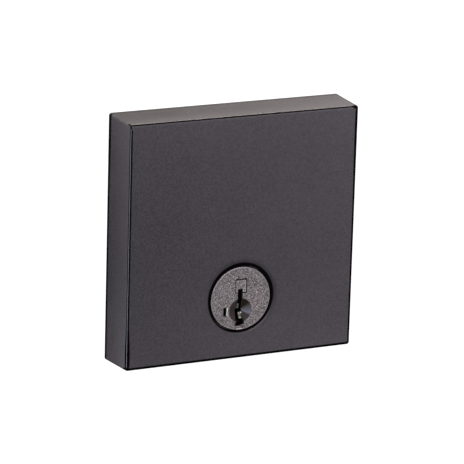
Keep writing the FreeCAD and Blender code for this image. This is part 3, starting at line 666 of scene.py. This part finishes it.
def rubber_material():
    """Black rubber with a pale bloom."""
    f = Finish("gasket_rubber")
    bloom = f.noise(0.3, detail=4.0, rough=0.7)
    skin = f.noise(6.0, detail=2.0)
    colour = f.mix(bloom.rise(0.4, 0.75), (0.018, 0.018, 0.019), (0.045, 0.044, 0.043))
    return f.wear(Base_Color=colour, Roughness=0.72 + (skin - 0.5) * 0.2,
                  Normal=f.bump(skin, 0.25, 0.05))


def nylon_material():
    """Natural nylon, cream, with faint flow marks."""
    f = Finish("natural_nylon")
    flow = f.noise(0.4, detail=3.0)
    skin = f.noise(5.0, detail=2.0)
    colour = f.mix(flow.rise(0.35, 0.7), (0.70, 0.67, 0.58), (0.80, 0.78, 0.71))
    return f.wear(Base_Color=colour, Roughness=0.48 + (skin - 0.5) * 0.15,
                  Normal=f.bump(skin, 0.15, 0.03))


def screw_material():
    """Black oxide with bright rubs."""
    f = Finish("black_oxide")
    rub = f.noise(1.2, detail=4.0, rough=0.7)
    skin = f.noise(5.0, detail=2.0)
    colour = f.mix(rub.rise(0.60, 0.72), (0.030, 0.030, 0.034), (0.22, 0.21, 0.20))
    return f.wear(Base_Color=colour, Metallic=0.8, Roughness=0.42 + (skin - 0.5) * 0.2,
                  Normal=f.bump(skin, 0.2, 0.03))


# ------------------------------------------------------------------ operators

class LOCK_OT_roses(bpy.types.Operator):
    """Satin coat on both roses, with painted shade picking out their rounded edges and the plug's
    hole in black
    """
    bl_idname = "lock.roses"
    bl_label = "Roses"

    def execute(self, context):
        colours = context.scene.lock_finishes
        dress(rose_material("satin_coat_outer", colours, OUTER_BACK_Y, OUTER_FACE_Y,
                            has_hole=True), "outer_rose")
        dress(rose_material("satin_coat_inner", colours, INNER_BACK_Y, INNER_FACE_Y),
              "inner_rose")
        return {"FINISHED"}


class LOCK_OT_key_plug(bpy.types.Operator):
    """Key plug with its blasted face, turned dish and square insert"""
    bl_idname = "lock.key_plug"
    bl_label = "Key plug"

    def execute(self, context):
        colours = context.scene.lock_finishes
        dress(plug_material(colours), "plug")
        dress(insert_material(colours), "plug_insert")
        dress(brass_material(colours), "key_followers", "wafer_racks", "rack_carriage")
        return {"FINISHED"}


class LOCK_OT_springs(bpy.types.Operator):
    """Springs, clips and the spring washer"""
    bl_idname = "lock.springs"
    bl_label = "Springs and clips"

    def execute(self, context):
        dress(spring_material(), "follower_springs", "sidebar_springs", "plug_retainer",
              "thumbturn_clip", "spring_washer")
        return {"FINISHED"}


class LOCK_OT_housing(bpy.types.Operator):
    """Cylinder housing, gear cover and weather gasket"""
    bl_idname = "lock.housing"
    bl_label = "Housing"

    def execute(self, context):
        colours = context.scene.lock_finishes
        dress(casting_material(colours), "cylinder_housing", "gear_cover")
        dress(rubber_material(), "weather_gasket")
        return {"FINISHED"}


class LOCK_OT_gears(bpy.types.Operator):
    """Gear train and the cam that drives the bolt"""
    bl_idname = "lock.gears"
    bl_label = "Gears and cam"

    def execute(self, context):
        dress(gear_material(), "drive_gear", "idler_gear", "driven_gear", "bolt_cam")
        return {"FINISHED"}


class LOCK_OT_pins(bpy.types.Operator):
    """Hardened pins, ring, rivets and pillars"""
    bl_idname = "lock.pins"
    bl_label = "Pins and rivets"

    def execute(self, context):
        dress(ground_material(), "guard_ring", "idler_axle", "sidebar", "latch_pillars",
              "bolt_core_pin", "link_rivets", "crank_pin")
        return {"FINISHED"}


class LOCK_OT_latch(bpy.types.Operator):
    """Latch case, bolt, faceplate and the blade that works it"""
    bl_idname = "lock.latch"
    bl_label = "Latch and bolt"

    def execute(self, context):
        colours = context.scene.lock_finishes
        steel = colours.steel_colour
        dress(plated_material("plated_tube", steel, X), "latch_tube", "bolt_link",
              "latch_side_outer", "latch_side_inner")
        dress(plated_material("satin_bolt", tint(steel, 0.92), X, duller=0.03), "bolt")
        dress(plated_material("plated_blade", steel, Y), "torque_blade", "mounting_posts",
              "gear_cover_screws")
        dress(plain_coat_material("satin_coat_plate", colours), "faceplate")
        return {"FINISHED"}


class LOCK_OT_indoor(bpy.types.Operator):
    """Indoor side: mounting plate, screws, bushing and thumbturn"""
    bl_idname = "lock.indoor"
    bl_label = "Indoor side"

    def execute(self, context):
        colours = context.scene.lock_finishes
        dress(plated_material("plated_mount", colours.steel_colour, Z), "inner_mounting_plate")
        dress(screw_material(), "through_screws", "rose_set_screw")
        dress(nylon_material(), "thumbturn_bushing")
        dress(plain_coat_material("satin_coat_turn", colours), "thumbturn")
        return {"FINISHED"}


def add_sheet(name, corners, faces, material):
    """A flat sheet that belongs to the stage; corners are in metres."""
    mesh = bpy.data.meshes.new(name)
    mesh.from_pydata(corners, [], faces)
    mesh.materials.append(material)
    sheet = bpy.data.objects.new(name, mesh)
    bpy.context.scene.collection.objects.link(sheet)
    return sheet


def add_softbox(name, spot, wide, tall, watts, colour=(1.0, 1.0, 1.0)):
    """An area light at spot, facing the lock's centre; all in metres and watts."""
    lamp = bpy.data.lights.new(name, "AREA")
    lamp.shape = "RECTANGLE"
    lamp.size = wide
    lamp.size_y = tall
    lamp.energy = watts
    lamp.color = colour
    box = bpy.data.objects.new(name, lamp)
    box.location = spot
    box.rotation_mode = "QUATERNION"
    box.rotation_quaternion = (-Vector(spot)).to_track_quat("-Z", "Y")
    box.visible_camera = False
    bpy.context.scene.collection.objects.link(box)


def glowing_white(name, grey, gain, strength, specular):
    """Matt paint, faintly dappled, that glows white."""
    f = Finish(name)
    colour = f.mix(f.noise(0.02, detail=2.0), (grey,) * 3, (grey + gain,) * 3)
    return f.wear(Base_Color=colour, Roughness=0.9, Specular_IOR_Level=specular,
                  Emission_Color=(1.0, 1.0, 1.0), Emission_Strength=strength)


def camera_axes(stage):
    """Right, up and back of the camera in the lock's frame."""
    a, e, r = stage.azimuth, stage.elevation, stage.roll
    back = Vector((math.sin(a) * math.cos(e), -math.cos(a) * math.cos(e), math.sin(e)))
    right = Vector((0.0, 0.0, 1.0)).cross(back).normalized()
    up = back.cross(right)
    return right * math.cos(r) + up * math.sin(r), up * math.cos(r) - right * math.sin(r), back


class LOCK_OT_stage(bpy.types.Operator):
    """Pale floor, white board in the plane of the door's outer face, soft lights and camera"""
    bl_idname = "lock.stage"
    bl_label = "Stage"

    def execute(self, context):
        stage = context.scene.lock_stage
        self.backdrop()
        self.floor(stage)
        self.surroundings(context)
        self.lights()
        self.camera(context, stage)
        return {"FINISHED"}

    def backdrop(self):
        """White board with an opening for the outer rose; only the camera sees it."""
        y = 0.4 * MM                      # just behind the rose's back
        rim = (ROSE_HALF - 0.6) * MM      # the opening's half width, covered by the rose
        left, right, bottom, top = -0.30, 0.115, -0.077, 0.30
        wing_y = y + (right - rim) * 0.0355    # the right wing leans back, edge-on from the side
        corners = [(left, y, bottom), (-rim, y, bottom), (rim, y, bottom),
                   (right, wing_y, bottom),
                   (left, y, top), (-rim, y, top), (rim, y, top), (right, wing_y, top),
                   (-rim, y, -rim), (rim, y, -rim), (-rim, y, rim), (rim, y, rim)]
        faces = [(0, 1, 5, 4), (1, 2, 9, 8), (10, 11, 6, 5), (2, 3, 7, 6)]
        board = add_sheet("door_face_backdrop", corners, faces,
                          glowing_white("board_white", 0.20, 0.04, 1.0, specular=0.0))
        for ray in ("diffuse", "glossy", "transmission", "volume_scatter", "shadow"):
            setattr(board, "visible_" + ray, False)

    def floor(self, stage):
        """Pale floor, kept out of reflections."""
        far, z = 3.0, -stage.floor_drop
        corners = [(-far, -far, z), (far, -far, z), (far, far, z), (-far, far, z)]
        floor = add_sheet("pale_floor", corners, [(0, 1, 2, 3)],
                          glowing_white("floor_paint", 0.12, 0.03, 0.95, specular=0.1))
        floor.visible_diffuse = False
        floor.visible_glossy = False

    def surroundings(self, context):
        """A dim, cool room for the lock, seen as plain white."""
        world = bpy.data.worlds.new("white_room")
        world.use_nodes = True
        nodes = Nodes(world.node_tree)
        seen_directly = nodes.add("ShaderNodeLightPath", out="Is Camera Ray")
        room = nodes.add("ShaderNodeBackground", {},
                         {"Color": (0.9, 0.92, 1.0), "Strength": 0.12})
        white = nodes.add("ShaderNodeBackground", {},
                          {"Color": (1.0, 1.0, 1.0), "Strength": 1.1})
        surface = nodes.add("ShaderNodeMixShader", {}, [seen_directly, room, white])
        nodes.node("ShaderNodeOutputWorld", {}, {"Surface": surface})
        context.scene.world = world

    def lights(self):
        """Warm from above, a cool strip at the left, and three fills."""
        add_softbox("overhead", (0.10, 0.06, 0.45), 0.30, 0.24, 4.4, (1.0, 0.95, 0.82))
        add_softbox("front_fill", (-0.10, -1.1, 0.35), 0.9, 0.9, 7.6, (0.99, 0.97, 1.0))
        add_softbox("left_strip", (-0.9, -0.25, 0.15), 0.35, 0.9, 15.0, (0.98, 0.96, 1.0))
        add_softbox("right_fill", (0.9, 0.1, 0.3), 0.6, 0.9, 0.9)
        add_softbox("indoor_fill", (-0.3, 1.1, 0.4), 0.9, 0.9, 3.5)

    def camera(self, context, stage):
        """Long lens, a little above the lock and to its left."""
        right, up, back = camera_axes(stage)
        spot = back * stage.distance - right * stage.aside - up * stage.above
        context.scene.view_settings.view_transform = "Standard"
        data = bpy.data.cameras.new("lock_camera")
        data.lens = stage.lens
        data.sensor_width = 36.0
        data.clip_start = 0.01
        data.clip_end = 20.0
        camera = bpy.data.objects.new("lock_camera", data)
        turn = Matrix((right, up, back)).transposed().to_4x4()
        camera.matrix_world = Matrix.Translation(spot) @ turn
        context.scene.collection.objects.link(camera)
        context.scene.camera = camera


# ------------------------------------------------------------------ panel and registration

PIECES = (LOCK_OT_roses, LOCK_OT_key_plug, LOCK_OT_springs, LOCK_OT_housing, LOCK_OT_gears,
          LOCK_OT_pins, LOCK_OT_latch, LOCK_OT_indoor, LOCK_OT_stage)


class LOCK_PT_panel(bpy.types.Panel):
    """Sidebar panel that lists the lock's finishes"""
    bl_idname = "LOCK_PT_panel"
    bl_label = "Deadbolt lock"
    bl_space_type = "VIEW_3D"
    bl_region_type = "UI"
    bl_category = "Lock"

    def draw(self, context):
        layout = self.layout
        for group in (context.scene.lock_finishes, context.scene.lock_stage):
            box = layout.box()
            for key in group.__annotations__:
                box.prop(group, key)
        for piece in PIECES:
            layout.operator(piece.bl_idname)


CLASSES = (LockFinishes, LockStage) + PIECES + (LOCK_PT_panel,)


def register():
    """Register the classes and hang the settings on the scene."""
    for item in CLASSES:
        bpy.utils.register_class(item)
    bpy.types.Scene.lock_finishes = PointerProperty(type=LockFinishes)
    bpy.types.Scene.lock_stage = PointerProperty(type=LockStage)


def unregister():
    """Undo register."""
    del bpy.types.Scene.lock_stage
    del bpy.types.Scene.lock_finishes
    for item in reversed(CLASSES):
        bpy.utils.unregister_class(item)


def main():
    """Register, then run every operator in order."""
    register()
    for piece in PIECES:
        area, name = piece.bl_idname.split(".")
        getattr(getattr(bpy.ops, area), name)()


if __name__ == "__main__":
    main()
